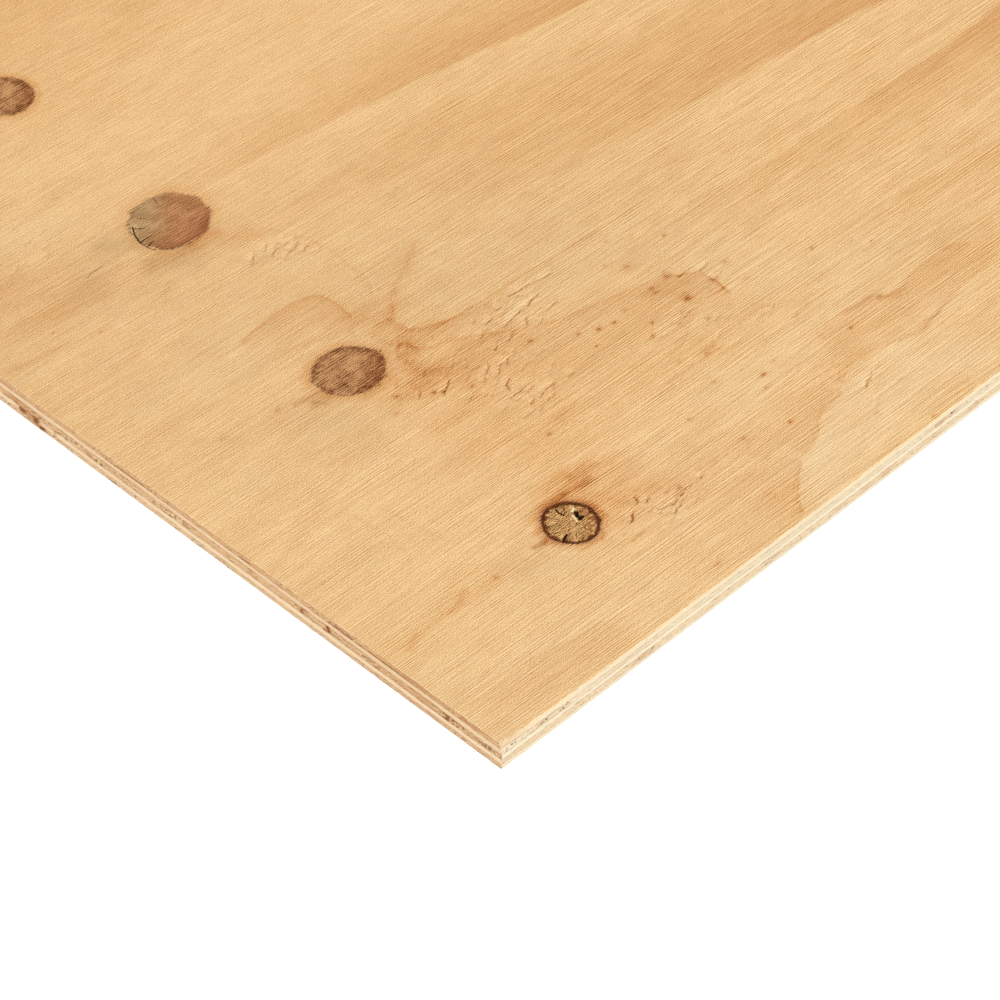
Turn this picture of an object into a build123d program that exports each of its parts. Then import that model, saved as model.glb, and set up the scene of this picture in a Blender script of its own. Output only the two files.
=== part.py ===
"""Softwood plywood sheet: five cross-banded veneers glued into one flat panel.

The sheet lies on its back veneer. X runs along the sheet and the face grain, Y across it and
Z up through the plies. The origin is the middle of the back face.
"""

import os

from build123d import *

# Sheet size, in millimetres
sheet_length = 2440.0
sheet_width = 1220.0

# Ply thicknesses, from the back of the sheet to its face
back_veneer_thickness = 2.2
crossband_thickness = 2.4
core_veneer_thickness = 2.6
face_veneer_thickness = 2.4

# Handling wear: one corner's long edge leans in towards the top of the sheet
wear_setback = 1.9
wear_run = 48.0
wear_depth = 4.5

# Core gaps: short open slits in the crossbands' end grain, along the worn corner's long edge
gap_height = 0.7
gap_depth = 4.0
gap_length = 8.0
gap_rise_share = 0.25
upper_gap_places_share = (0.0134, 0.0967)
lower_gap_places_share = (0.0288, 0.0585)

# Heights of the glue lines above the back face
lower_crossband_bottom = back_veneer_thickness
core_veneer_bottom = lower_crossband_bottom + crossband_thickness
upper_crossband_bottom = core_veneer_bottom + core_veneer_thickness
face_veneer_bottom = upper_crossband_bottom + crossband_thickness
sheet_thickness = face_veneer_bottom + face_veneer_thickness

# The worn corner, where the sheet's end meets its long edge, at the top of the face veneer
corner = Vector(-sheet_length / 2, -sheet_width / 2, sheet_thickness)
wear_on_end = corner + Vector(0, wear_setback, 0)
wear_on_long_edge = corner + Vector(wear_run, 0, 0)
wear_low_point = corner - Vector(0, 0, wear_depth)
wear_normal = (wear_on_long_edge - wear_on_end).cross(wear_low_point - wear_on_end)
wear_plane = Plane(origin=wear_on_end, x_dir=wear_on_long_edge - wear_on_end, z_dir=wear_normal)

# Each ply from the bottom up: its name, underside, thickness and the places of its core gaps
lay_up = (
    ("back_veneer", 0, back_veneer_thickness, ()),
    ("lower_crossband", lower_crossband_bottom, crossband_thickness, lower_gap_places_share),
    ("core_veneer", core_veneer_bottom, core_veneer_thickness, ()),
    ("upper_crossband", upper_crossband_bottom, crossband_thickness, upper_gap_places_share),
    ("face_veneer", face_veneer_bottom, face_veneer_thickness, ()),
)

os.makedirs("parts", exist_ok=True)
long_edge_plane = Plane.XZ.offset(sheet_width / 2)
for ply_name, underside, thickness, gap_places_share in lay_up:
    with BuildPart() as ply:
        # The veneer sheet itself
        with BuildSketch(Plane.XY.offset(underside)):
            Rectangle(sheet_length, sheet_width)
        extrude(amount=thickness)
        # Core gaps, cut into the long edge a little above the glue line
        if gap_places_share:
            gap_z = underside + thickness * gap_rise_share + gap_height / 2
            with BuildSketch(long_edge_plane):
                for place_share in gap_places_share:
                    with Locations((corner.X + sheet_length * place_share, gap_z)):
                        SlotOverall(gap_length, gap_height)
            extrude(amount=-gap_depth, mode=Mode.SUBTRACT)
        # Handling wear, where this ply reaches it
        if sheet_thickness - (underside + thickness) < wear_depth:
            split(bisect_by=wear_plane, keep=Keep.TOP)
    ply.part.label = ply_name
    export_step(ply.part, f"parts/{ply_name}.step")
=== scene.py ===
"""Looks of the plywood sheet: five raw pine veneers with knots, torn grain, glue lines and sawn edges.

Places on the sheet are in millimetres from its worn corner: x along the long edge and the face grain,
y along the end, z up from the back face. Colours are written as the eye sees them under the light.
"""

import itertools
import math

import bpy
import numpy as np
from mathutils import Matrix, Vector


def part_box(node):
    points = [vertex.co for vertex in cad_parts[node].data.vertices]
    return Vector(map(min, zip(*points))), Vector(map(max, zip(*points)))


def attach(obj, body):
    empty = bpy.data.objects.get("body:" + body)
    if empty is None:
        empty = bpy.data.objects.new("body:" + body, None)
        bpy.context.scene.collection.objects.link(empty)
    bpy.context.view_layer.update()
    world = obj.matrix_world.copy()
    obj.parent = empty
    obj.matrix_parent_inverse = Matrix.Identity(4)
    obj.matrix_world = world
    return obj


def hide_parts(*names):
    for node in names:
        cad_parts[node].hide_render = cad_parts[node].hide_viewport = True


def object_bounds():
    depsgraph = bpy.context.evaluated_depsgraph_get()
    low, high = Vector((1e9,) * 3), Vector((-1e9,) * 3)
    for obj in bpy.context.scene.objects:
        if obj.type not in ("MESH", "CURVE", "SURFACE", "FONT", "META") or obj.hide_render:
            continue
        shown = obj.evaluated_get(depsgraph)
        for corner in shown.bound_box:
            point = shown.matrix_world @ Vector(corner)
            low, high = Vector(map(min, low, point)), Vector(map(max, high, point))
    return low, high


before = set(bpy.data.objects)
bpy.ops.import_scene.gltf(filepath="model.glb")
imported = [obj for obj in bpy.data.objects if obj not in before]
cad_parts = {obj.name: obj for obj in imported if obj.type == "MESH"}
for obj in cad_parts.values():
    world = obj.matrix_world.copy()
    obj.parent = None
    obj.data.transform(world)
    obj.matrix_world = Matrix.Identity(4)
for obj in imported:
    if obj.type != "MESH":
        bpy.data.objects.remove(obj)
cad_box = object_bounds()

# Plies from the back up with their material slots, the sheet's sizes from the frame, and the wood's seeds
SLOTS = {
    "back_veneer": "back_veneer_wood",
    "lower_crossband": "crossband_wood",
    "core_veneer": "core_wood",
    "upper_crossband": "crossband_wood",
    "face_veneer": "face_veneer_wood",
}
PLIES = tuple(SLOTS)
METRE = 1000.0
LENGTH, WIDTH, THICKNESS = [METRE * size for size in cad_box[1] - cad_box[0]]
GLUE_LINES = [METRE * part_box(ply)[0].z for ply in PLIES] + [THICKNESS]
PLY_HEIGHT = THICKNESS / len(PLIES)
WOOD_SEEDS = (1.3, 17.1, 33.7, 51.9, 74.3)

# Camera: where it looks from, its focal length and the near bottom corner's place, in picture widths
CAMERA_AZIMUTH = -47.69
CAMERA_ELEVATION = 44.39
CAMERA_ROLL = 2.26
CORNER_DISTANCE = 1400.24
FOCAL_WIDTHS = 4.08196
CORNER_RIGHT, CORNER_DOWN = 0.00142, 0.26944
SENSOR = 36.0

# Light on each side of the sheet, as a multiple of a white surface's full brightness
FACE_LIGHT = 1.30
END_LIGHT = 1.08
LONG_EDGE_LIGHT = 1.50
SUN_FROM = (-0.225, -0.646, 0.73)
SUN_STRENGTH = 2.8
SUN_ANGLE = 20.0
SKY_STRENGTH = 0.65
FLOOR_REACH = 60.0

# Mesh: cells halve from the largest to the finest
FINEST_CELL = WIDTH / 4096
LARGEST_SPLIT = 256
PHOTO_EDGE_CELL, EDGE_CELL = 0.62, 10.0
PHOTO_CELL, FRAME_CELL, OPEN_CELL = 5.0, 10.0, 20.0
CORNER_KNOT_CELLS = (0.32, 0.65, 1.3)
SHARP_MARK_CELL, SOFT_MARK_CELL = 0.32, 0.65
EDGE_RUN = 270.0
PHOTO_REACH = 340.0
FRAME_REACH = 600.0
WALL_ROWS = 6
SHARP_ANGLE = 50.0

# Numbers of a ply's materials, and the side of the two outer plies that shows knots
TOP, UNDERSIDE, LONG_EDGE, END, FIRST_KNOT = range(5)
KNOT_SIDES = {"face_veneer": TOP, "back_veneer": UNDERSIDE}

# Numbers of two of the face's five marks
FIGURE, RIPPLE = 3, 4

# Glue lines from the bottom up: how far each is shifted along the photographed end and long edge
END_SHIFTS = (0, -0.04, -0.22, 0.36, 0)
LONG_SHIFTS = (0, -0.26, 0.08, -0.40, -0.40)

# Grain: tilt to the long edge, and how far knots push it aside
GRAIN_SLOPE = math.tan(math.radians(0.8))
KNOT_PUSH = 0.10

# Torn edges: depth for each unit of tear, the sunk side's fall, the cliff's width, how many small ones
# to a millimetre of a rippled patch, and the tear up to which one is shallow, with a softer dark line of
# stain and painted shade
TEAR_DEPTH = 2.2
TEAR_SLOPE = 2.8
TEAR_CLIFF = 0.28
SMALL_TEARS = 0.62
SHALLOW_TEAR = 0.2

# How far from its line a torn edge, and a crack or chip, is worked out
TEAR_REACH, MARK_REACH = 8.0, 4.0

# Handling wear on the corner
WEAR_SETBACK = 1.9
WEAR_RUN = 20.0
WEAR_DEPTH = 4.5
WEAR_REACH = 8.0

# Kinds of knot: depth of the bark groove round it, and how far its middle stands proud
KNOT_KINDS = {"dead": (0.45, -0.10), "red": (0.06, 0.10), "grey": (0.22, -0.04)}
BARK_RING, BARK_WIDTH = 0.955, 0.05
KNOT_MATERIAL_REACH = 2.2

# Knots near the worn corner: middle, half length along the grain, half width, kind
CORNER_KNOTS = (
    (95.6, 57.7, 10.7, 10.8, "dead"), (95.2, 171, 15, 13.4, "red"), (106, 281, 17.4, 15.8, "grey"),
)

# Other knots: rows along the sheet, kinds, share left out, radii, step across the sheet, stray from the row,
# margin at the sheet's sides, and the least x + y, to stay off the corner
FACE_ROWS = (104, 548, 1016, 1472, 1958, 2352)
FACE_KINDS, FACE_SKIP = ("red", "dead", "red", "red", "dead", "grey"), 0.28
BACK_ROWS = (210, 690, 1130, 1660, 2140)
BACK_KINDS, BACK_SKIP = ("dead", "red", "dead", "red", "grey"), 0.2
KNOT_RADII = (5.0, 8.0, 11.0, 14.0, 17.0)
KNOT_STEP = (104, 132)
KNOT_STRAY = 9
KNOT_MARGIN = 30
OFF_CORNER = 395

# Torn grain: depth, then the line of the torn edge. The wood is sunk on the line's far side.
TEARS = (
    (0.46, (167.7, 158.8), (171.3, 158.5), (174.3, 158.2), (178.6, 158.1), (182, 157.2)),
    (0.4, (158.8, 156.5), (160.9, 156.4), (163, 156.4)), (0.22, (170.5, 155.8), (173.5, 155.4)),
    (0.34, (150, 153.4), (152.5, 153.9), (155, 154.2)),
    (0.26, (165.7, 139.8), (167.8, 140.5), (169.5, 140.8)), (0.24, (147.9, 151.3), (149.4, 151.4)),
    (0.44, (154, 147.5), (158.7, 148.6), (162, 149.2), (165.6, 149.9), (171, 150.4), (174.8, 151.3),
     (178.2, 151.9)), (0.3, (161.5, 142), (162.5, 143.6), (164.5, 146)),
    (0.26, (172, 142.8), (176, 143.2), (181, 144.2)), (0.34, (182, 157.2), (186, 156.5), (190, 156.2)),
    (0.28, (142, 141), (143.5, 141.4), (145.5, 142.8)),
    (0.26, (149, 140.3), (151.5, 141.8), (154.5, 143)), (0.24, (141, 149), (144, 149.4), (147, 151)),
    (0.28, (130, 134), (133.5, 135.8), (134.5, 136.4), (136, 139)),
    (0.26, (135, 131), (136.2, 132.8), (138.5, 133.6)),
    (0.28, (140, 132), (141.5, 133.4), (143.5, 135.2)),
    (0.24, (126.5, 131), (128, 131.8), (129.5, 133.2)),
    (0.34, (111, 136), (112.5, 138.2), (114.5, 139), (117, 140.6), (119, 142)),
    (0.26, (102.5, 142), (104.5, 143), (106.3, 144.6)), (0.26, (116, 128), (117.5, 129), (119.5, 129.4)),
    (0.24, (121, 126), (124.5, 126.7)), (0.36, (130.5, 121), (131.5, 123.5), (132, 125), (135.5, 126.5)),
    (0.32, (127.5, 118.8), (132, 119), (139.5, 119.8)), (0.3, (130.5, 110.8), (134, 112.5)),
    (0.34, (135.5, 111), (139, 112.5), (146.5, 113.3)), (0.24, (134, 116), (136, 117), (139.5, 117.6)),
    (0.22, (123, 107.3), (126, 107.8), (130.5, 107.8)), (0.22, (132, 107.9), (136, 108.3), (141, 108.4)),
    (0.24, (152, 127.8), (156.5, 128.4)), (0.34, (231, 117.4), (233.5, 117.6), (237.5, 118.2)),
    (0.26, (222.7, 120.8), (226.1, 120.8)), (0.26, (232, 109.7), (234.8, 111)),
    (0.2, (151, 111.4), (155.5, 112.1)), (0.22, (202, 102), (206, 103), (214.5, 105.2)),
    (0.38, (110.5, 42.5), (113, 43.4), (114.6, 45.2), (116.5, 46)),
    (0.32, (122.6, 45.4), (123.8, 46.3), (126, 46.9)),
    (0.3, (118.8, 47.6), (121.5, 48.6), (121.8, 49.9), (122, 51), (123.5, 51.4)),
    (0.3, (122.4, 40.5), (126, 39.4), (130.4, 39.2), (132.8, 38.9)),
    (0.32, (134, 39.3), (135.1, 39.8), (136.8, 39.9)), (0.3, (137.4, 40.7), (139.7, 40.8)),
    (0.3, (146.4, 40.1), (147.1, 40.9), (148.4, 41.3)),
    (0.4, (125.3, 34.4), (127, 35), (128.4, 36), (131.2, 35.9)), (0.22, (121.7, 38.2), (123.4, 38.8)),
    (0.3, (226.3, 29), (229.7, 31.4), (232.5, 32.7)), (0.22, (273, 37.5), (277, 37.5), (281.6, 37.9)),
    (0.24, (235.5, 83.8), (238.5, 85.2)), (0.3, (119.5, 237.6), (122.5, 239.8), (125.8, 240.3)),
    (0.3, (126, 235.8), (130, 236), (133, 237.2)), (0.26, (130.5, 231.5), (133, 233.6)),
    (0.26, (127, 239.7), (131.5, 240.6)), (0.24, (111.5, 241.8), (114, 242.6), (116.5, 244.2)),
    (0.24, (119.5, 241.8), (121, 243), (123.5, 245.2)), (0.22, (131.5, 227.3), (136.5, 228.2)),
    (0.26, (60, 278.3), (63, 279.2), (69.5, 279.5)),
)

# Cracks and pits: half width, depth, darkness of the painted shade in them, then the line
CRACKS = (
    (0.45, 0.8, 0.75, (96.9, 66.6), (96.5, 64.4), (96.9, 62.4)),
    (0.5, 0.9, 0.95, (86.8, 53.4), (88.4, 54.2), (90.4, 54.8)), (0.8, 1.5, 1, (101.3, 60.4), (100.3, 59)),
    (0.75, 1.5, 1, (99.8, 57.2), (101.4, 57.4)), (0.35, 0.5, 0.6, (97.7, 53.2), (97.3, 51.8)),
    (0.35, 0.4, 0.45, (91.4, 51), (94, 53.4)), (0.4, 0.5, 0.55, (87.5, 58.4), (89.5, 57.6)),
    (0.35, 0.4, 0.45, (90.2, 62.2), (92, 61)), (0.35, 0.4, 0.4, (103.4, 58.4), (104.6, 57)),
    (0.28, 0.5, 0.7, (93.2, 288.4), (90.6, 284.2), (89, 279.4), (89.2, 274.6), (90.2, 272)),
    (0.26, 0.5, 0.75, (89.4, 279.4), (92.2, 279.6), (95.2, 279.4)),
    (0.24, 0.4, 0.7, (92.8, 287.2), (94.4, 285.6), (96.2, 284.6)),
    (0.24, 0.4, 0.55, (98, 291), (100.2, 288.4)),
    (0.24, 0.4, 0.65, (90, 275.6), (92, 276.4), (93.6, 276.6)),
    (0.3, 0.4, 0.55, (111, 170.6), (112.2, 171.4)),
)

# Chips standing proud: half width, height, then the line
CHIPS = (
    (0.7, 0.35, (100.2, 61.4), (101.6, 62)), (0.6, 0.35, (98.6, 59.8), (98.2, 57.8), (97.6, 56.6)),
    (0.4, 0.25, (105.4, 57.6), (105.9, 56.4)), (0.5, 0.25, (118.8, 69.1), (120.2, 69.6), (121.8, 70.4)),
)

# Resin flecks: place, half length along the grain, strength
FLECKS = (
    (155.5, 135, 1.7, 0.6), (171.5, 125, 1.4, 0.65), (179, 121.5, 1.4, 0.85), (186.2, 120, 1.3, 0.8),
    (171.5, 115.6, 0.9, 0.8), (196.2, 109.6, 1.1, 0.85), (194, 122, 1.4, 0.5), (210, 120.6, 1.8, 0.5),
    (216.2, 109.8, 2.2, 0.75), (213, 138.4, 3.2, 0.45), (237, 140.8, 1.2, 0.95), (207.6, 145, 1.6, 0.35),
    (218, 154.2, 1.6, 0.35), (220, 123.6, 2.2, 0.45), (231, 110.4, 1.8, 0.45), (190.4, 104, 1.4, 0.4),
    (213.4, 96.6, 1.6, 0.6), (122, 133, 1.6, 0.55), (223.6, 121, 1.4, 0.45), (272.6, 95.8, 1.1, 0.85),
    (248.2, 55, 1.2, 0.9), (192.4, 37, 1.5, 0.7), (137.2, 42.6, 2, 0.35), (292.4, 82, 1.1, 0.6),
    (123.8, 95, 1.6, 0.6), (166.4, 64.2, 1.1, 0.6), (204, 60.8, 1.8, 0.4), (269.6, 58.6, 2.6, 0.5),
    (30.3, 263.7, 0.6, 0.95), (43.6, 251.7, 0.8, 0.7), (102.2, 257, 0.8, 0.5), (61.2, 174, 1.8, 0.4),
    (91.2, 142.2, 1.5, 0.45), (98, 148.8, 1.5, 0.4), (109.6, 140.4, 1.6, 0.75), (112.4, 138.8, 1.6, 0.5),
    (111.4, 171, 1, 0.7), (93, 160.6, 1.6, 0.55), (40, 94.6, 0.9, 0.4), (233, 1.6, 1.4, 0.6),
    (118, 6.6, 1.6, 0.45), (202.6, 85, 1.6, 0.35), (210.9, 123.3, 2, 0.4), (198.4, 83.9, 2.4, 0.4),
    (213.2, 63.2, 1.8, 0.35), (188.3, 71.3, 1.8, 0.4), (205, 61.1, 1.5, 0.55), (187.3, 88.5, 2.2, 0.3),
    (191.1, 105.2, 1.8, 0.4), (242.3, 113.8, 1.8, 0.45), (241.1, 101.9, 2.2, 0.3),
    (199.8, 55.5, 1.6, 0.45), (173.1, 42.9, 2, 0.4), (218.8, 17.8, 1.6, 0.4), (171.3, 30.5, 1.6, 0.3),
    (158.8, 15.7, 1.4, 0.35), (56.2, 57.2, 1.8, 0.6), (36, 177.2, 2.2, 0.35), (208.9, 106, 2.4, 0.3),
    (221.1, 126.3, 1.8, 0.3),
)

# Stains on the face: half width, strength, then the line
STAINS = (
    # Broad zones of darker wood
    (8, 0.12, (104, 168), (114, 165)), (8, 0.4, (114, 72), (132, 67)), (7, 0.24, (100, 52), (112, 46)),
    (9, 0.26, (104, 109), (134, 107)), (14, 0.14, (86, 106), (112, 98)), (9, 0.38, (98, 126), (116, 124)),
    (9, 0.3, (114, 90), (134, 86)), (10, 0.09, (140, 88), (240, 86)),
    (6, 0.34, (12, 14), (40, 10), (64, 8)), (3, 0.22, (8, 58.5), (52, 57)),
    (19, 0.29, (128, 142), (150, 118), (176, 110)), (10, 0.26, (200, 117), (214, 114), (225, 107)),
    (8, 0.3, (236, 53), (258, 52), (276, 48)), (7, 0.26, (290, 51), (312, 51), (332, 50)),
    (1.3, 0.4, (253, 62.6), (259.3, 61.4), (267, 61.2)),
    (1.2, 0.46, (272, 57), (276, 55.5), (280.6, 55.3)),
    (1.6, 0.34, (308.7, 60), (313.5, 58.3), (317.7, 55)),
    (1.4, 0.32, (263.3, 35.6), (267.4, 34.9), (270.5, 35.8)),
    (0.8, 0.44, (231.6, 109.4), (230.9, 105.4), (230.2, 101.3)),
    (3, 0.34, (206, 122.6), (214, 119.6), (222, 119)),
    (2.6, 0.36, (214.8, 115.7), (216.1, 111.8), (216.8, 109)),
    (3.4, 0.26, (200.9, 89.6), (198.7, 82.6), (202.8, 81.2)), (12, 0.22, (140, 32), (160, 16), (156, 4)),
    (8, 0.26, (136, 46), (160, 45), (182, 37)), (7, 0.14, (196, 38), (218, 43), (240, 49)),
    (14, 0.26, (30, 290), (52, 276), (72, 266)), (8, 0.16, (16, 268), (38, 266)),
    (5, 0.26, (36, 272), (62, 270)), (18, 0.2, (0, 306), (34, 296)),
    (2, 0.3, (0, 259), (24, 256), (46, 252)), (2, 0.22, (0, 233), (44, 233)),
    (1.6, 0.26, (0, 198), (44, 197)), (1.4, 0.24, (0, 115), (20, 121), (40, 126), (56, 133), (62, 139)),
    (3, 0.3, (54, 172), (63, 173)), (1.4, 0.6, (43.4, 60.1), (37.8, 58), (33.5, 56.8)),
    (1.4, 0.4, (16.5, 57.8), (9.8, 53.6)), (3, 0.28, (52, 58), (61, 60)),
    # Fan of twisted grain beside the live knot
    (6, 0.34, (113, 155), (117, 163), (121, 174), (121, 186)),
    (8, 0.22, (90, 202), (108, 204), (112, 198)), (6, 0.24, (112, 194), (124, 190), (134, 184)),
    (9, 0.28, (98, 152), (108, 147), (122, 140)), (13, 0.28, (108, 148), (150, 144)),
    (7, 0.24, (126, 168), (138, 164)), (1.2, 0.5, (120, 181.6), (123, 181), (126.6, 180.8)),
    (2, 0.34, (138, 191), (136.7, 188.4), (134, 186), (131, 183.7), (127, 181)),
    (1.6, 0.44, (125.4, 179.6), (125.3, 175.7), (126.2, 172.4)),
    (0.9, 0.46, (121.5, 166), (121.8, 162.7), (124.5, 159.6), (127.6, 157.8), (132, 157.4), (137, 156.5)),
    (2.2, 0.4, (119.7, 168.6), (121, 165.7), (120.7, 162)),
    (0.9, 0.4, (119.3, 168.2), (116.7, 166.9), (113.7, 163.6)),
    (3.2, 0.36, (115.8, 163), (114.4, 159), (113.4, 155.4)),
    (2.6, 0.36, (115.5, 150.6), (118.5, 148.8), (121.3, 147)),
    (1.6, 0.38, (114.3, 177), (115.7, 174), (116.4, 170.6)), (1.2, 0.36, (114.8, 179.6), (118.8, 177.3)),
    (2, 0.34, (104, 159), (103, 154)), (1.5, 0.24, (138, 190), (150, 196), (166, 205)),
    (1, 0.3, (110.4, 184), (111.5, 186), (113, 188)),
    (0.7, 0.48, (110, 186.6), (115, 187.9), (120.5, 187.9)), (1, 0.22, (107, 151), (106, 145)),
    (0.8, 0.24, (97.4, 150), (98.2, 146)),
    (1.6, 0.23, (86, 195), (95, 192.5), (100, 190.5), (110, 186.6)),
    # Bark stain round the dead knot
    (10, 0.42, (108, 68), (114, 48)), (8, 0.22, (126, 64), (130, 44)),
    (2.6, 0.55, (86, 69), (94, 70.4), (104, 70.2)), (2.6, 0.5, (94, 69.6), (106, 69.4), (117, 68.4)),
    (1, 0.45, (104, 69.4), (116, 67.6)), (3, 0.34, (98, 77), (112, 76.4)),
    (1.6, 0.55, (112, 74), (124.5, 73)), (0.9, 0.4, (118, 75), (126.5, 75)),
    (3, 0.42, (115.5, 53.4), (122.5, 52.6)), (2, 0.36, (109, 63), (112.5, 62)),
    (2, 0.36, (118, 49), (131, 48.4)), (1.3, 1.05, (76.8, 58.2), (80, 58), (85.5, 58.6)),
    (1.7, 0.65, (82, 56.5), (85.4, 53)), (1.3, 0.6, (83.4, 62), (86, 65)),
    (0.7, 0.85, (97.4, 43.9), (100.6, 46.4)), (1.5, 0.4, (89, 45.6), (97, 45)),
    (1.3, 0.7, (105.8, 63), (107.8, 57), (107.2, 51.6)),
    # Below the grey knot and behind the live one
    (4, 0.5, (84, 268), (104, 261.5), (124, 253)), (2.4, 0.6, (102, 265.5), (114, 263.5)),
    (1.6, 0.55, (68, 172), (75, 171), (81, 170.2)), (2.8, 0.36, (74, 169), (80, 167)),
    (1.4, 0.45, (72, 166), (77, 163)),
)

# Grey marks on the face, in the same way. The first, broad band greys the wood a little towards the far side
# of the corner.
GREYS = (
    (55, 0.14, (10, 290), (90, 240), (150, 190), (220, 150)), (12, 0.08, (286, 70), (316, 66)),
    (30, 0.08, (0, 200), (60, 160)), (6, 0.2, (84, 267), (98, 262)), (10, 0.12, (56, 276), (76, 286)),
    (1.6, 0.3, (136, 42.4), (138.2, 43.2)), (1.1, 0.42, (76.8, 58.2), (80, 58), (85.5, 58.6)),
    (1.3, 0.22, (68, 172), (75, 171), (81, 170.2)), (0.7, 0.35, (73.5, 168.5), (77, 163.6)),
    (3, 0.2, (76, 168), (80, 165)), (9, 0.14, (68, 160), (76, 146)), (8, 0.14, (66, 54), (80, 46)),
    (5, 0.26, (78, 287), (87, 279)),
)

# Paler wood on the face, in the same way
PALES = (
    (22, 0.22, (0, 8), (160, 8)), (9, 0.18, (40, 208), (76, 206)), (10, 0.22, (0, 44), (14, 44)),
    (10, 0.22, (136, 48), (164, 46)), (10, 0.2, (262, 66), (280, 44)), (26, 0.16, (0, 112), (60, 108)),
    (20, 0.2, (0, 24), (70, 24)), (8, 0.14, (86, 29), (112, 31)), (10, 0.26, (122, 30), (190, 27)),
    (8, 0.12, (196, 103), (214, 99)), (14, 0.22, (134, 183), (170, 182), (206, 172)),
    (7, 0.22, (146, 154), (170, 155), (196, 151)), (12, 0.85, (182, 8), (216, 17), (250, 25), (270, 14)),
    (5, 0.5, (167, 4), (179, 15), (197, 22), (212, 29), (234, 36)), (9, 0.3, (180, 52), (228, 54)),
    (10, 0.34, (196, 68), (252, 68)), (8, 0.34, (252, 39), (296, 36)),
    (12, 0.2, (202, 150), (228, 136), (242, 122)), (16, 0.34, (242, 104), (264, 92), (292, 78)),
    (11, 0.22, (134, 62), (160, 70), (196, 64)), (12, 0.2, (40, 150), (10, 148)),
    (9, 0.36, (46, 316), (76, 307)), (2, 0.45, (62.5, 276.6), (69, 277.2)),
    (1.4, 0.5, (119.8, 173), (118, 170.3), (116, 167.5), (113, 164.4)),
    (2, 0.55, (106, 158.5), (110.5, 163), (112.4, 170), (111, 178)), (3, 0.3, (113, 184), (118, 184.5)),
    (0.9, 0.8, (125.4, 33.7), (128.9, 34.1)), (2.6, 0.4, (118, 45.5), (121, 44.5)),
    (4, 0.35, (126, 43.5), (133, 41.6)),
)

# Rippled grain: half width, strength, then the middle of the patch
RIPPLES = (
    (13, 1, (116, 150), (132, 138), (148, 128)), (12, 0.8, (124, 122), (142, 112)),
    (11, 0.9, (148, 156), (182, 152)), (8, 1, (112, 160), (128, 165)), (9, 0.7, (118, 44), (142, 40)),
    (9, 0.9, (118, 239), (136, 234)), (11, 0.5, (198, 103), (234, 106)), (9, 0.4, (224, 30), (238, 34)),
    (12, 0.4, (38, 296), (72, 312)), (10, 0.4, (190, 86), (240, 84)),
)

# Growth lines: strength, fading width, then the line. The wood is darker on the right of the line's run.
GROWTH_LINES = (
    (0.34, 5, (137.5, 191.6), (127.3, 179.3), (127.5, 172), (133.5, 166.9), (143.8, 164.7),
     (153.6, 161.6), (163.6, 160.6)),
    (0.52, 3.2, (75, 210.5), (85, 212), (96, 213), (108, 212.6), (114, 211), (117.2, 208), (118.4, 200),
     (116, 188.6)), (0.25, 2, (138, 212), (136.5, 203), (131, 194.5)),
    (0.38, 5, (130, 158), (143, 152), (160, 141), (172, 136), (190, 131.6), (205, 128), (220, 124.6),
     (230, 118)), (0.42, 5, (224, 122), (231.4, 116), (231.4, 107), (229.6, 99)),
    (0.34, 5, (324, 43.4), (307, 42), (296, 40.6), (281, 38), (274, 36.6), (268.5, 35.3), (263.6, 36.2)),
    (0.34, 5, (263.6, 36.2), (252.4, 39.2), (246, 40.3), (237, 41), (231, 41.5), (227.4, 40.3),
     (220.4, 36.8)),
    (0.26, 4, (234.5, 62), (244, 61.9), (253, 63), (265.7, 62), (270, 60.6), (272, 57.3), (280, 56)),
    (0.26, 4, (280, 56), (287.4, 58.4), (293, 59.8), (301, 59.9), (308.8, 59.4), (317.6, 55)),
    (0.24, 3, (216.4, 103.5), (212.3, 102.8), (207.3, 100.4), (200.5, 96.5), (195.2, 93.8), (185, 92)),
    (0.46, 8, (181, 21.6), (171, 15), (163, 8), (159, 1)),
    (0.4, 7, (220.4, 36.8), (217, 34), (206, 33), (199.6, 30), (195, 26), (189, 23), (181, 21.6)),
    (0.36, 2.4, (127, 171), (136, 167), (147, 164.2), (180, 163.2), (200, 161.6), (224, 160.8)),
    (0.22, 3, (166, 206), (150, 197), (138, 191)),
    (0.22, 1.4, (128, 254), (136, 238), (138.4, 222), (136, 208)),
    (0.16, 1.2, (42, 118), (44, 100), (42, 84)), (0.14, 1.2, (53, 112), (55, 92), (60, 74)),
    (0.16, 1.2, (62, 243), (72, 247), (82, 256)), (0.18, 1.2, (141, 106), (138, 100), (131, 96)),
)

# Stains on the cut edges, by ply and side: place, half width, strength
EDGE_STAINS = {
    ("core_veneer", "end"): (
        (98.1, 1.3, 1.1), (85, 1.6, 1.2), (26.3, 1.2, 0.9), (124, 0.9, 0.6), (158, 0.8, 0.7),
        (252, 4, 0.6), (243, 6, 0.45), (36, 40, 0.34),
    ),
    ("lower_crossband", "end"): (
        (247.5, 1.8, 1.2), (239.5, 1.3, 1.6), (242, 7, 1), (229, 1, 0.8), (198, 36, 0.18),
    ),
    ("back_veneer", "end"): ((236, 1.6, 0.9), (240, 6, 0.8), (36, 40, 0.36)),
    ("face_veneer", "end"): ((42, 12, 0.6), (16, 6, 0.5), (76, 5, 0.4)),
    ("lower_crossband", "long_edge"): (
        (178.4, 4, 0.36), (193, 3.4, 0.32), (204.5, 4.4, 0.42), (231.7, 4, 0.34), (257, 3.4, 0.5),
        (72, 6, 0.4),
    ),
    ("upper_crossband", "long_edge"): ((20, 7, 0.35), (62, 8, 0.25), (237, 9, 0.5)),
    ("face_veneer", "long_edge"): ((0, 12, 0.55),),
}
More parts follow.
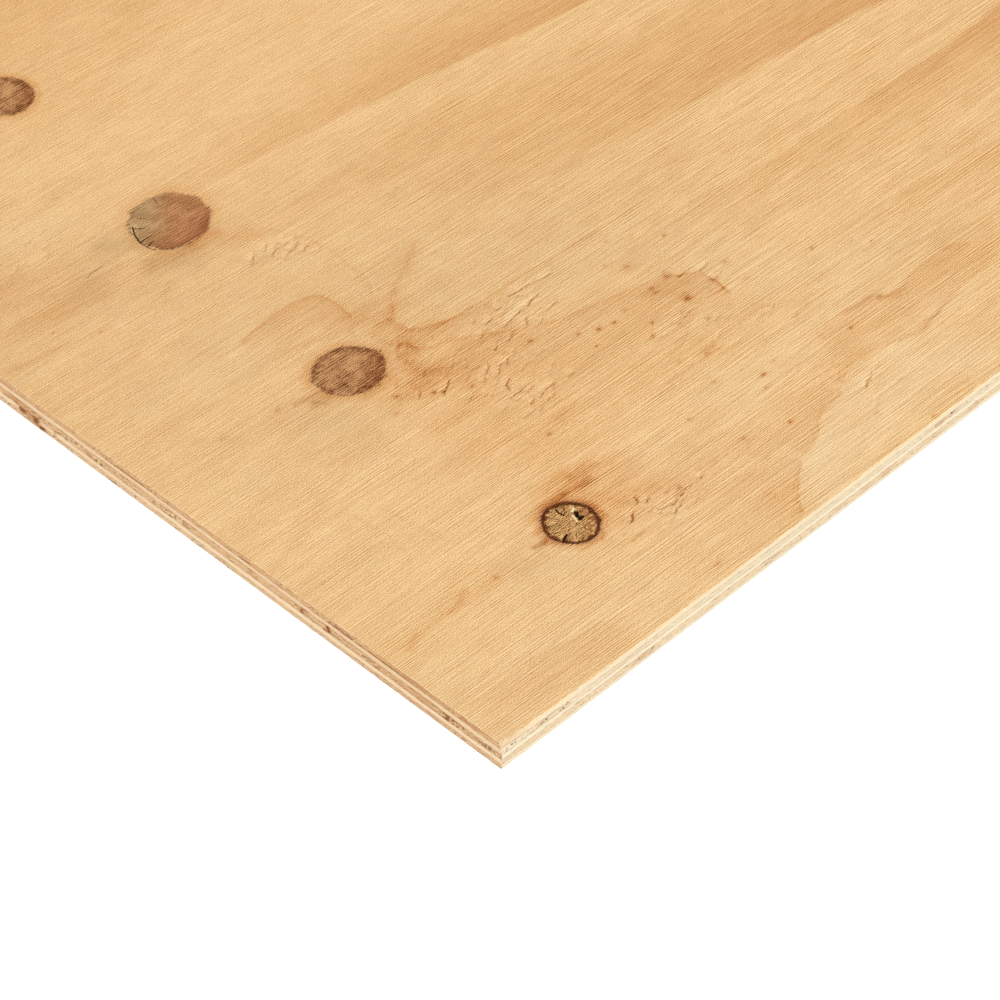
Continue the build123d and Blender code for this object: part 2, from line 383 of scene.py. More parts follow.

# Gaps in the cut edges, by ply and side: place, half length, middle and half height in plies, depth. Each is
# darkened with painted shade as well as set back.
EDGE_GAPS = {
    ("upper_crossband", "long_edge"): (
        (32.7, 4.4, 0.42, 0.24, 2.2), (21, 3, 0.4, 0.16, 0.8), (5.4, 0.7, 0.5, 0.2, 0.8),
        (2.6, 0.6, 0.3, 0.16, 0.7), (7.2, 0.4, 0.42, 0.12, 0.5), (236, 4, 0.4, 0.15, 1.6),
        (243, 1.6, 0.6, 0.3, 0.9),
    ),
    ("lower_crossband", "long_edge"): (
        (70.3, 4, 0.4, 0.15, 1.4), (142.7, 4, 0.4, 0.15, 1.8), (77, 0.7, 0.5, 0.4, 1),
    ),
    ("face_veneer", "end"): (
        (186, 10, 0.08, 0.14, 1.3), (127.5, 3.6, 0.08, 0.12, 0.9), (58, 16, 0.08, 0.12, 0.9),
    ),
    ("back_veneer", "end"): ((122, 14, 0.92, 0.1, 1),),
}

# Pale, middle and dark tone of the cut edges, by ply and side
EDGE_TONES = {
    ("face_veneer", "end"): ((240, 198, 150), (208, 158, 110), (140, 84, 46)),
    ("upper_crossband", "end"): ((250, 220, 180), (234, 198, 154), (186, 138, 92)),
    ("core_veneer", "end"): ((243, 207, 160), (211, 164, 115), (128, 80, 46)),
    ("lower_crossband", "end"): ((252, 230, 194), (240, 208, 166), (190, 144, 98)),
    ("back_veneer", "end"): ((249, 218, 177), (218, 177, 131), (130, 86, 52)),
    ("face_veneer", "long_edge"): ((258, 241, 204), (252, 228, 186), (224, 180, 132)),
    ("upper_crossband", "long_edge"): ((258, 239, 206), (248, 224, 188), (150, 118, 92)),
    ("core_veneer", "long_edge"): ((260, 248, 216), (254, 236, 198), (224, 184, 144)),
    ("lower_crossband", "long_edge"): ((255, 232, 196), (244, 213, 174), (158, 112, 78)),
    ("back_veneer", "long_edge"): ((258, 245, 212), (248, 228, 190), (210, 172, 130)),
}

# Pores in end grain, by side: length and width, and how rare they are
PORES = {"end": ((1.2, 0.45), 0.10), "long_edge": ((1.5, 0.26), 0.16)}


def noise(x, y, seed):
    """Smooth noise from -1 to 1, with one bump to each unit of x and y."""

    def corner(i, j):
        n = i * 374761393 + j * 668265263 + seed * 982451653
        n = (n ^ (n >> 13)) * 1274126177
        return ((n ^ (n >> 16)) & 65535) / 32767.5 - 1

    i, j = np.floor(x).astype(np.int64), np.floor(y).astype(np.int64)
    a, b = x - i, y - j
    a, b = a * a * (3 - 2 * a), b * b * (3 - 2 * b)
    low = corner(i, j) * (1 - a) + corner(i + 1, j) * a
    high = corner(i, j + 1) * (1 - a) + corner(i + 1, j + 1) * a
    return low * (1 - b) + high * b


def rough(x, y, seed):
    """Noise in three sizes, each half the last."""
    return noise(x, y, seed) + 0.5 * noise(2 * x, 2 * y, seed + 1) + 0.25 * noise(4 * x, 4 * y, seed + 2)


def fade(x, low, high):
    """A smooth step from 0 at low to 1 at high."""
    t = np.clip((x - low) / (high - low), 0, 1)
    return t * t * (3 - 2 * t)


def bell(x):
    """1 at 0, falling away smoothly on both sides."""
    return np.exp(-x * x)


def near(points, x, y, reach):
    """Numbers of the places within reach of the points' box, so that far ones cost nothing."""
    low, high = np.min(points, 0) - reach, np.max(points, 0) + reach
    return np.flatnonzero((x > low[0]) & (x < high[0]) & (y > low[1]) & (y < high[1]))


def beside(line, x, y, reach):
    """Places near a line: numbers, distance from it, side (1 is left) and share of the way along it."""
    pick = near(line, x, y, reach)
    x, y = x[pick], y[pick]
    points = np.array(line, float)
    spans = np.hypot(*np.diff(points, axis=0).T)
    best, side, along = np.full(x.shape, 1e9), np.zeros(x.shape), np.zeros(x.shape)
    done = 0.0
    for (ax, ay), (bx, by), span in zip(points, points[1:], spans):
        ux, uy = (bx - ax) / span, (by - ay) / span
        t = np.clip((x - ax) * ux + (y - ay) * uy, 0, span)
        dx, dy = x - ax - t * ux, y - ay - t * uy
        d = np.hypot(dx, dy)
        nearer = d < best
        best = np.where(nearer, d, best)
        side = np.where(nearer, np.sign(ux * dy - uy * dx), side)
        along = np.where(nearer, (done + t) / spans.sum(), along)
        done += span
    return pick, best, side, along


def whorls(seed, rows, kinds, skip):
    """Knots in rows across the grain, as branches leave a trunk in rings."""
    rng = np.random.default_rng(seed)
    knots = []
    for row in rows:
        y = rng.uniform(KNOT_MARGIN, 3 * KNOT_MARGIN)
        step = rng.uniform(*KNOT_STEP)
        while y < WIDTH - KNOT_MARGIN:
            radius = rng.choice(KNOT_RADII) * rng.uniform(0.85, 1.15)
            x = row + rng.normal(0, KNOT_STRAY)
            kind = kinds[rng.integers(len(kinds))]
            if rng.uniform() > skip and x + y > OFF_CORNER:
                knots.append((x, y, radius * rng.uniform(1.0, 1.25), radius, kind))
            y += step * rng.uniform(0.85, 1.15)
    return knots


def small_tears(seed):
    """Small torn scoops on the rippled patches: a blunt end, then an edge close to the grain."""
    rng = np.random.default_rng(seed)
    tears = []
    for half, strength, start, *_, end in RIPPLES:
        span = math.dist(start, end)
        for _ in range(round(strength * (span + half) * SMALL_TEARS)):
            along, run, rise = rng.uniform(), rng.uniform(0.9, 2.4), rng.uniform(0.0, 0.5)
            x = start[0] + along * (end[0] - start[0]) + rng.normal(0, 0.5 * half)
            y = start[1] + along * (end[1] - start[1]) + rng.normal(0, 0.5 * half)
            blunt = (x - rng.uniform(0.0, 0.5), y + rng.uniform(0.3, 1.2))
            tip = (x + 2 * run, y + (rise + rng.uniform(-0.2, 0.4)) * 2 * run)
            tears.append((rng.uniform(0.09, 0.20), blunt, (x, y), (x + run, y + rise * run), tip))
    return tears


FACE_KNOTS = list(CORNER_KNOTS) + whorls(11, FACE_ROWS, FACE_KINDS, FACE_SKIP)
BACK_KNOTS = whorls(5, BACK_ROWS, BACK_KINDS, BACK_SKIP)
ALL_TEARS = list(TEARS) + small_tears(23)


def glue_height(level, x, y):
    """Height of a glue line, which waves a little and is shifted along the photographed edges."""
    if level in (0, len(PLIES)):
        return np.full(x.shape, GLUE_LINES[level])
    by_end = fade(y, 4, 40) * fade(x, 160, 20) * fade(y, 700, 300)
    by_long = fade(x, 4, 40) * fade(y, 160, 20) * fade(x, 700, 300)
    wave = 0.16 * noise(x / 46 + 3.1, y / 46 + 7.7, 20 + level) + 0.07 * noise(x / 13, y / 13, 30 + level)
    return GLUE_LINES[level] + END_SHIFTS[level] * by_end + LONG_SHIFTS[level] * by_long + wave


def worn(x, y, z):
    """How far the worn corner's long edge leans in."""
    run = np.exp(-np.maximum(x, 0) / WEAR_RUN) * np.clip(1 - y / WEAR_REACH, 0, 1)
    return WEAR_SETBACK * run * np.clip(1 - (THICKNESS - z) / WEAR_DEPTH, 0, 1)


def knot_place(x, y, knots):
    """Place within the nearest knot, in knot sizes with a wavering rim, and that knot's number."""
    best = np.full(x.shape, 1e9)
    u, v, which = np.full(x.shape, 9.0), np.full(x.shape, 9.0), np.full(x.shape, -1)
    for number, (kx, ky, rx, ry, _) in enumerate(knots):
        pick = near([(kx, ky)], x, y, 4 * max(rx, ry))
        a, b = (x[pick] - kx) / rx, (y[pick] - ky) / ry
        d = np.maximum(np.hypot(a, b), 1e-6)
        nearer = d < best[pick]
        pick, a, b, d = pick[nearer], a[nearer], b[nearer], d[nearer]
        c, s = a / d, b / d
        waver = 1 + 0.04 * noise(1.6 * c + 5 * number, 1.6 * s + 3.1, 54)
        waver += 0.03 * noise(5 * c, 5 * s + 7 * number, 55)
        best[pick], u[pick], v[pick], which[pick] = d, a * waver, b * waver, number
    return u, v, which


def grain_place(x, y, knots):
    """Place along and across the grain, which leans a little and bends round the knots."""
    across = y + x * GRAIN_SLOPE + 2.5 * noise(x / 260, y / 120, 3)
    for kx, ky, _, ry, _ in knots:
        dx, dy = x - kx, y - ky
        across = across - KNOT_PUSH * dy * ry * ry / (dx * dx * 0.5 + dy * dy + 0.6 * ry * ry)
    return x - y * GRAIN_SLOPE, across


def torn(depth, line, x, y):
    """Places near a torn edge: numbers, distance, fall, whether on the sunk side, and the ends' fading."""
    pick, d, side, along = beside(line, x, y, TEAR_REACH)
    d = np.maximum(d + 0.22 * noise(x[pick] / 0.9, y[pick] / 0.9, 43), 0)
    fall = d / (TEAR_SLOPE * min(1, 4 * depth))
    return pick, d, fall, side > 0, np.sqrt(np.clip(4 * along * (1 - along), 0, 1))


def knot_relief(x, y, knots):
    """A groove of bark round each knot, and a rough middle that stands a little proud or lies lower."""
    u, v, which = knot_place(x, y, knots)
    r = np.hypot(u, v)
    depth, swell = np.array([KNOT_KINDS[knot[4]] for knot in knots])[which].T
    groove = depth * bell((r - BARK_RING) / BARK_WIDTH) * (0.75 + 0.25 * noise(u * 9, v * 9, 53))
    return fade(r, 1.0, 0.85) * (swell + 0.06 * noise(x / 1.1, y / 0.7, 52)) - groove


def face_surface(x, y):
    """The face's height above its plane, and its stain, grey, pale, free growth figure and ripple. Stain and
    grey also carry painted shade in cracks and torn edges; pale carries painted highlights on torn scoops and
    along the end's arris.
    """
    height = 0.02 * noise(x / 14, y / 1.7, 41) + knot_relief(x, y, CORNER_KNOTS)
    stain, grey, pale, ripple = np.zeros((4, len(x)))
    ragged = noise(x / 9, y / 2.2, 61) + 0.6 * noise(x / 3.5, y / 0.9, 62)
    drift = noise(x / 34, y / 7, 63) + 0.5 * noise(x / 15, y / 3, 64)
    for mark, strokes in ((stain, STAINS), (grey, GREYS), (pale, PALES)):
        for half, strength, *line in strokes:
            pick, d, *_ = beside(line, x, y, 3 * half)
            d = d + 0.35 * half * (drift if half > 5 else ragged)[pick]
            mark[pick] += strength * bell(np.maximum(d, 0) / half)
    for strength, width, *line in GROWTH_LINES:
        pick, d, side, along = beside(line, x, y, 5 * width)
        d = d * side + 0.4 * ragged[pick]
        ends = strength * fade(np.minimum(along, 1 - along), 0, 0.08)
        stain[pick] += ends * (np.where(d < 0, np.exp(d / width), bell(d / 0.6)) + 0.5 * bell(d / 0.7))
    for depth, *line in ALL_TEARS:
        pick, d, fall, sunk, ends = torn(depth, line, x, y)
        width = 0.42 if depth > SHALLOW_TEAR else 0.62
        height[pick] -= TEAR_DEPTH * depth * ends * np.where(sunk, np.exp(-fall), bell(d / TEAR_CLIFF))
        # Dark line along the torn edge: partly the torn wood's brown stain, partly painted shade in the cliff
        stain[pick] += 9.0 * depth**2 * ends * bell(d / width)
        grey[pick] += 1.5 * depth**2 * ends * bell(1.2 * d / width)
        # Painted highlight on the sunk slope, which faces the key light
        pale[pick] += 2.5 * depth * ends * sunk * bell(2 * fall - 1.4)
    for fx, fy, half, strength in FLECKS:
        pick = near([(fx, fy)], x, y, 5 * half)
        d = np.hypot((x[pick] - fx) / (1.3 * half), (y[pick] - fy) / (0.75 * half))
        stain[pick] += strength * (bell(np.maximum(d + 0.3 * ragged[pick], 0)) + 1.4 * bell(2.2 * d))
        grey[pick] += 0.2 * strength * bell(2.2 * d)
    for half, depth, dark, *line in CRACKS:
        pick, d, *_ = beside(line, x, y, MARK_REACH)
        height[pick] -= depth * bell(d / half)
        # Painted shade in the crack, carried by the grey mark
        grey[pick] += 1.6 * dark * bell(d / half)
    for half, rise, *line in CHIPS:
        pick, d, *_ = beside(line, x, y, MARK_REACH)
        proud = fade(d, half, 0.4 * half)
        height[pick] += rise * proud
        pale[pick] += 2.0 * proud
    for half, strength, *line in RIPPLES:
        pick, d, *_ = beside(line, x, y, 3 * half)
        ripple[pick] = np.maximum(ripple[pick], strength * bell(d / half))
    # Painted highlight: a ragged pale line along the top of the end's arris
    pale += 1.3 * fade(noise(y / 3.2, x / 0.8, 65), 0.0, 0.35) * fade(x, 1.0, 0.2)
    return height, (stain, grey, pale, fade(x + y, PHOTO_REACH - 10, FRAME_REACH), ripple)


def grown(finest, slope, away):
    """Cell size at a distance from a mark: the finest on it, and larger with the distance."""
    return finest + slope * np.maximum(away, 0)


def knot_cells(detail):
    """Middle, radius and finest cell of each knot."""
    for number, (kx, ky, rx, ry, _) in enumerate(FACE_KNOTS if detail == "face" else BACK_KNOTS):
        in_photo = detail == "face" and number < len(CORNER_KNOTS)
        yield kx, ky, max(rx, ry), CORNER_KNOT_CELLS[number] if in_photo else 0.3 * ry


def line_cells():
    """Finest cell, reach and line of each mark on the face."""
    small = ALL_TEARS[len(TEARS):]
    for table, finest, halo in (
        (TEARS, SHARP_MARK_CELL, 0.25), (small, SOFT_MARK_CELL, 0.25), (CRACKS, SHARP_MARK_CELL, 0.4),
        (CHIPS, SHARP_MARK_CELL, 0.4), (GROWTH_LINES, SOFT_MARK_CELL, 0.3),
    ):
        for entry in table:
            yield finest, halo, [point for point in entry if isinstance(point, tuple)]
    for half, _, *line in STAINS + GREYS + PALES:
        if half < 6:
            yield max(SOFT_MARK_CELL, 0.6 * half), min(half, 0.5) if half < 2 else half, line
    for fx, fy, half, _ in FLECKS:
        yield SOFT_MARK_CELL, 0.7 * half, [(fx, fy), (fx + 0.01, fy)]


def wanted_cell(x, y, reach, detail):
    """Largest cell allowed at each place, given how far the cell reaches from its middle."""
    by_long = np.hypot(np.maximum(x - EDGE_RUN, 0), y)
    by_end = np.hypot(x, np.maximum(y - EDGE_RUN, 0))
    edge = np.minimum(np.minimum(x, LENGTH - x), np.minimum(y, WIDTH - y))
    size = grown(PHOTO_EDGE_CELL, 1.2, np.minimum(by_long, by_end) - reach)
    size = np.minimum(size, grown(EDGE_CELL, 1.2, edge - reach))
    if detail == "plain":
        return size
    marks = np.full(x.shape, OPEN_CELL)
    if detail == "face":
        marks[x + y < FRAME_REACH] = FRAME_CELL
        marks[x + y < PHOTO_REACH + reach] = PHOTO_CELL
    for kx, ky, radius, finest in knot_cells(detail):
        away = np.hypot(x - kx, y - ky) - 1.02 * radius - reach
        marks = np.minimum(marks, grown(finest, 1.0, away))
    for finest, halo, line in line_cells() if detail == "face" else ():
        pick, d, *_ = beside(line, x, y, reach + 20)
        marks[pick] = np.minimum(marks[pick], grown(finest, 0.8, d - halo - reach))
    # Cells on the rim keep one size on all sides, so that the cut edges meet them
    return np.where(edge > 1.01 * reach, np.minimum(size, marks), size)


def quilt(detail):
    """A flat mesh over the whole sheet whose square cells halve where the surface needs it.

    Returns the points' x and y, the faces, and the numbers of the points round the rim, anticlockwise.
    """
    across, down = round(LENGTH / FINEST_CELL), round(WIDTH / FINEST_CELL)
    i, j = np.meshgrid(*(np.arange(0, end, LARGEST_SPLIT) for end in (across, down)), indexing="ij")
    i, j, span = i.ravel(), j.ravel(), LARGEST_SPLIT
    done = []
    while len(i):
        x, y = (i + span / 2) * FINEST_CELL, (j + span / 2) * FINEST_CELL
        split = (span * FINEST_CELL > wanted_cell(x, y, 0.5 * span * FINEST_CELL, detail)) & (span > 1)
        done.append(np.stack([i[~split], j[~split], np.full((~split).sum(), span)], 1))
        i, j, span = i[split], j[split], span // 2
        i = np.concatenate([i, i + span, i, i + span])
        j = np.concatenate([j, j, j + span, j + span])
    cells = np.concatenate(done)
    row = down + 1
    a, b, n = cells.T
    keys = np.unique(np.concatenate([a * row + b, (a + n) * row + b, (a + n) * row + b + n, a * row + b + n]))
    number = {int(key): k for k, key in enumerate(keys)}

    def side(start, step, length):
        """Numbers of a cell side's first point and of any finer neighbour's points along it."""
        half = length // 2
        middle = start + half * step
        if half and middle in number:
            return side(start, step, half) + side(middle, step, length - half)
        return [number[start]]

    faces = []
    for a0, b0, n0 in cells.tolist():
        low, high = a0 * row + b0, (a0 + n0) * row + b0
        ring = side(low, row, n0) + side(high, 1, n0)
        faces.append(ring + side(high + n0, -row, n0) + side(low + n0, -1, n0))
    ki, kj = keys // row, keys % row
    sides = (
        (kj == 0, ki), ((ki == across) & (kj > 0), kj),
        ((kj == down) & (ki < across), -ki), ((ki == 0) & (kj > 0) & (kj < down), -kj),
    )
    rim = np.concatenate([np.flatnonzero(on)[np.argsort(place[on])] for on, place in sides])
    return ki * FINEST_CELL, kj * FINEST_CELL, faces, rim


def wall_inset(ply, x, y, share):
    """How far a ply's cut edge lies behind its plane, from the saw's roughness."""
    level = PLIES.index(ply)
    inset = 0.05 + 0.05 * noise(x / 2.1 + 5 * share, y / 2.1 + 3 * share, 70 + level)
    inset = inset + 0.03 * noise(x / 1.3 + 9 * share, y / 1.3 + 7 * share, 80 + level)
    if ply == "face_veneer":
        inset = inset + 0.18 * fade(share, 0.75, 1.0) * fade(noise(x / 3.3, y / 3.3, 90), 0.1, 0.9)
    return inset


def edge_marks(ply, side, s, share):
    """Depth and painted shade of the open gaps, and strength of the stains, along one edge of a ply."""
    depth, dark, stain = np.zeros((3, len(s)))
    for place, half, middle, height, deep in EDGE_GAPS.get((ply, side), ()):
        d = np.hypot((s - place) / half, (share - middle) / height) + 0.25 * noise(s / 1.3, 6 * share, 95)
        depth = np.maximum(depth, deep * fade(d, 1.1, 0.6))
        # Painted shade of the gap, kept as its darkness
        dark = np.maximum(dark, fade(d, 1.25, 0.5))
    for place, half, strength in EDGE_STAINS.get((ply, side), ()):
        stain = stain + strength * bell((s - place) / half)
    return np.array([depth, dark, stain])


def fray_rims(ply, tz, bz, x, y):
    """Wears away the rim of the face or the back, given the rim's heights and place."""
    frayed = np.where(np.maximum(x, y) < EDGE_RUN, 1.0, 0.2)
    if ply == "face_veneer":
        tz = tz - frayed * (0.08 + 0.2 * np.maximum(noise(x / 2.3, y / 2.3, 96), 0))
    if ply == "back_veneer":
        chips = 0.6 * np.maximum(noise(x / 8.3, y / 8.3, 98) - 0.3, 0)
        bz = bz + frayed * (0.06 + 0.3 * np.maximum(noise(x / 3.1, y / 3.1, 97), 0) + chips)
    return tz, bz


def knot_slots(slots, faces, side, u, v, which, knots):
    """Gives the faces round each knot on one side of a ply that knot kind's material."""
    counts = np.array([len(face) for face in faces])
    starts = np.cumsum(counts) - counts
    corners = np.fromiter(itertools.chain.from_iterable(faces), np.int64)
    reach = np.maximum.reduceat(np.hypot(u, v)[corners], starts)
    low, high = np.minimum.reduceat(which[corners], starts), np.maximum.reduceat(which[corners], starts)
    kinds = np.array([list(KNOT_KINDS).index(knot[4]) for knot in knots])
    on_knot = (reach < KNOT_MATERIAL_REACH) & (low == high) & (slots == side)
    return np.where(on_knot, FIRST_KNOT + kinds[low], slots)


def put(name, data):
    """A new object with this data, in the scene."""
    thing = bpy.data.objects.new(name, data)
    bpy.context.scene.collection.objects.link(thing)
    return thing


def build_ply(ply, top, bottom, materials):
    """One veneer as a closed mesh: its top, its underside and the cut edge between them."""
    level = PLIES.index(ply)
    (tx, ty, top_faces, rim), (bx, by, bottom_faces, low_rim) = top, bottom
    rx, ry, count = tx[rim], ty[rim], len(rim)
    # Points: top, underside, then the rows of the cut edge between the two rims
    shares = np.linspace(1, 0, WALL_ROWS + 1)[1:-1]
    x = np.concatenate([tx, bx] + [rx] * len(shares))
    y = np.concatenate([ty, by] + [ry] * len(shares))
    share = np.concatenate([np.ones(len(tx)), np.zeros(len(bx))] + [np.full(count, s) for s in shares])
    # Heights, and the marks: only the face has some, and elsewhere the growth figure is free
    tz, bz = glue_height(level + 1, tx, ty), glue_height(level, bx, by)
    marks = np.zeros((5, len(x)))
    marks[FIGURE] = 1
    if ply == "face_veneer":
        relief, marks[:, : len(tx)] = face_surface(tx, ty)
        tz = tz + relief
    tz[rim], bz[low_rim] = fray_rims(ply, tz[rim], bz[low_rim], rx, ry)
    z = np.concatenate([tz, bz] + [tz[rim] * s + bz[low_rim] * (1 - s) for s in shares])
    # Cut edge: roughness and gaps push points inwards, and the worn corner leans in
    inset = wall_inset(ply, x, y, share)
    on_end, on_long = x == 0, y == 0
    # Along the photographed end and long edge: gap depth, painted shade of the gaps, stain strength
    end_depth, end_gap_shade, end_stain = on_end * edge_marks(ply, "end", y, share)
    long_depth, long_gap_shade, long_stain = on_long * edge_marks(ply, "long_edge", x, share)
    moved_x = x + on_end * inset + end_depth - (x == tx.max()) * inset
    moved_y = y + on_long * inset + long_depth - (y == ty.max()) * inset + worn(x, y, z)
    # Faces and the numbers of their materials: top, underside turned over, and the cut edge
    faces = list(top_faces) + [[k + len(tx) for k in reversed(face)] for face in bottom_faces]
    slots = [TOP] * len(top_faces) + [UNDERSIDE] * len(bottom_faces)
    wall = np.arange(len(shares) * count).reshape(len(shares), count) + len(tx) + len(bx)
    rows = [rim, *wall, len(tx) + low_rim]
    turn = np.roll(np.arange(count), -1)
    side_y = (ry + ry[turn]) / 2
    wall_slots = np.where((side_y == 0) | (side_y == ry.max()), LONG_EDGE, END).tolist()
    for upper, lower in zip(rows, rows[1:]):
        faces += np.stack([lower, lower[turn], upper[turn], upper], 1).tolist()
        slots += wall_slots
    # Fields that the materials read
    knots = BACK_KNOTS if ply == "back_veneer" else FACE_KNOTS
    u, v, which = knot_place(x, y, knots)
    slots = np.array(slots, np.int32)
    if ply in KNOT_SIDES:
        slots = knot_slots(slots, faces, KNOT_SIDES[ply], u, v, which, knots)
    rings = 2.6 * rough(x / 1500 + 4, y / 210, 100 + level) + y / 900
    fields = {
        "grain": (*grain_place(x, y, knots), rings),
        "marks": marks[:RIPPLE],
        "knot": (u, v, which * 1.37 + level * 11.3),
        "edge": (x, y, share),
        # edge_marks holds the edges' stains, the painted shade of their gaps and the face's ripple
        "edge_marks": (end_stain + long_stain, end_gap_shade + long_gap_shade, marks[RIPPLE]),
    }
    # The mesh in metres, in the part's frame
    mesh = bpy.data.meshes.new(ply)
    mesh.from_pydata((np.stack([moved_x, moved_y, z], 1) / METRE + np.array(cad_box[0])).tolist(), [], faces)
    mesh.polygons.foreach_set("material_index", slots.astype(np.int32))
    for name, parts in fields.items():
        kind, key = ("FLOAT_COLOR", "color") if len(parts) == 4 else ("FLOAT_VECTOR", "vector")
        values = np.stack(parts, 1).astype(np.float32).ravel()
        mesh.attributes.new(name, kind, "POINT").data.foreach_set(key, values)
    for material in materials:
        mesh.materials.append(material)
    mesh.shade_smooth()
    mesh.set_sharp_from_angle(angle=math.radians(SHARP_ANGLE))
    mesh.update()
    piece = put(ply + "_sheet", mesh)
    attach(piece, "root")
    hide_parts(ply)


def linear(channel):
    """Light value of a colour channel seen as 0 to 255."""
    c = channel / 255
    return c / 12.92 if c <= 0.04045 else ((c + 0.055) / 1.055) ** 2.4


def seen(red, green, blue, light=FACE_LIGHT):
    """Surface colour that looks like this under the given light."""
    return (linear(red) / light, linear(green) / light, linear(blue) / light, 1)


class Value:
    """A value or a colour in a material's node tree, for plain sums."""

    def __init__(self, wood, socket):
        self.wood, self.socket = wood, socket

    def math(self, operation, other=0.0):
        return self.wood.add("Math", {0: self, 1: other}, operation=operation)[0]

    def __add__(self, other):
        return self.math("ADD", other)

    def __sub__(self, other):
        return self.math("SUBTRACT", other)

    def __mul__(self, other):
        return self.math("MULTIPLY", other)

    def __truediv__(self, other):
        return self.math("DIVIDE", other)

    __radd__, __rmul__ = __add__, __mul__

    def __rsub__(self, other):
        return -1.0 * self + other

    def __abs__(self):
        return self.math("ABSOLUTE")

    def fade(self, low, high, start=0.0, end=1.0):
        """A smooth step from start at low to end at high."""
        ends = {"Value": self, "From Min": low, "From Max": high, "To Min": start, "To Max": end}
        return self.wood.add("MapRange", ends, interpolation_type="SMOOTHSTEP")[0]

    def between(self, first, second):
        """The colour this share of the way from one to another."""
        return self.wood.mix("MIX", self, first, second)

    def blend(self, share, colour):
        return self.wood.mix("MIX", share, self, colour)

    def darken(self, share, tint):
        return self.wood.mix("MULTIPLY", share, self, tint)


class Wood:
    """One material, with short calls for the nodes that all of them share."""

    def __init__(self, name):
        self.material = bpy.data.materials.new(name)
        self.material.use_nodes = True
        self.tree = self.material.node_tree
        self.tree.nodes.clear()

    def add(self, kind, inputs, **settings):
        """The values that a new node gives."""
        node = self.tree.nodes.new("ShaderNode" + kind)
        for name, setting in settings.items():
            setattr(node, name, setting)
        for name, value in inputs.items():
            if isinstance(value, Value):
                self.tree.links.new(value.socket, node.inputs[name])
            else:
                node.inputs[name].default_value = value
        return [Value(self, socket) for socket in node.outputs]

    def mix(self, kind, share, first, second):
        return self.add("Mix", {0: share, 6: first, 7: second}, data_type="RGBA", blend_type=kind)[2]

    def field(self, name):
        """The three parts of a field on the mesh."""
        return self.add("SeparateXYZ", {0: self.add("Attribute", {}, attribute_name=name)[1]})

    def noise(self, place, scale, detail, roughness=0.5):
        """Noise about 0 at a place of three values."""
        vector = self.add("CombineXYZ", dict(enumerate(place)))[0]
        inputs = {"Vector": vector, "Scale": scale, "Detail": detail, "Roughness": roughness}
        return self.add("TexNoise", inputs)[0] - 0.5

    def finish(self, colour, height, bump):
        """Joins colour and relief to a raw wood surface. The bump is in millimetres."""
        relief = self.add("Bump", {"Height": height, "Strength": 1.0, "Distance": bump / METRE})[0]
        inputs = {"Base Color": colour, "Roughness": 0.62, "Normal": relief, "Specular IOR Level": 0.06}
        self.add("OutputMaterial", {"Surface": self.add("BsdfPrincipled", inputs)[0]})
        return self.material


class Streaks:
    """Noise drawn out along the first of two directions, about 0. Each shift gives other streaks."""

    def __init__(self, wood, along, across, seed):
        self.wood, self.along, self.across, self.seed = wood, along, across, seed

    def soft(self, length, width, shift=0.0, detail=2.0):
        place = (self.along / length, self.across / width, self.seed + shift)
        return self.wood.noise(place, 1.0, detail, 0.55)

    def aside(self, step):
        return Streaks(self.wood, self.along, self.across + step, self.seed)

    def crisp(self, length, width, shift=0.0):
        """Noise less the mean of itself a little to both sides."""
        places = (self, self.aside(-0.9 * width), self.aside(0.9 * width))
        middle, left, right = [place.soft(length, width, shift, 0.0) for place in places]
        return middle - 0.5 * (left + right)


def veneer(wood, seed):
    """Peeled pine: streaks, clouds, growth figure, ripples and stains, with painted shade in cracks and torn
    edges and painted highlights on torn scoops and the end's arris. Returns colour and height.
    """
    along, across, rings = wood.field("grain")
    stain, grey, pale = wood.field("marks")
    figure = wood.add("Attribute", {}, attribute_name="marks")[3]
    ripple = wood.field("edge_marks")[2]
    grain = Streaks(wood, along, across, seed)
    fine, hair = grain.soft(24.0, 0.34, detail=0.0), grain.crisp(22.0, 0.45, 3)
    broad, cloud = grain.soft(40.0, 2.2, 7), grain.soft(90.0, 22.0, 11)
    mottle = grain.soft(11.0, 8.0, 39, detail=1.0)
    fuzz = 0.7 * grain.soft(0.5, 0.4, 21, detail=0.0) + grain.crisp(0.6, 0.5, 19)
    scratch = abs(grain.soft(30.0, 0.9, 15, detail=0.0)).fade(0.03, 0.0)
    bold = (along - across).fade(-140.0, 100.0, 0.58, 1.06) + 1.2 * grain.soft(30.0, 9.0, 27)
    streak = bold * (0.70 * fine + 1.30 * hair - 0.20 * scratch) + 0.10 * broad + 1.05 * fuzz
    tone = streak + 0.22 * cloud + 0.22 * mottle + 0.60
    colour = tone.between(seen(211, 152, 84), seen(259, 222, 167))
    # Growth figure away from the worn corner: each ring darkens slowly and ends sharply
    ring = (rings + 0.05 * broad).math("FRACT")
    late = ring.fade(0.25, 0.93) * ring.fade(1.0, 0.95) * figure
    colour = colour.darken(0.55 * late, (0.74, 0.52, 0.32, 1))
    # Pale wood lightens the colour, with painted highlights on the torn scoops and along the end's arris.
    # Stains soak deepest into the dark streaks; along torn edges they are partly painted shade.
    colour = colour.blend(0.5 * pale, tone.between(seen(226, 186, 132), seen(257, 232, 190)))
    stain = stain * (1.0 - 0.6 * streak)
    colour = colour.darken(0.62 * stain, (0.75, 0.46, 0.21, 1))
    colour = colour.darken(stain.fade(0.8, 2.5, 0.0, 0.9), (0.48, 0.34, 0.26, 1))
    # Grey wood, and painted shade in cracks and at torn edges' cliffs; where the grey is strongest, in
    # cracks, the painted shade is near black
    colour = colour.blend(0.65 * grey, seen(132, 98, 64))
    colour = colour.blend(grey.fade(0.7, 1.5), seen(36, 22, 12))
    # Rippled patches are a little bumpy
    pebble = ripple * grain.soft(3.0, 1.3, 31, detail=1.0)
    return colour, 0.25 * fine + 0.30 * hair + 0.20 * fuzz - 0.14 * scratch + 0.8 * pebble


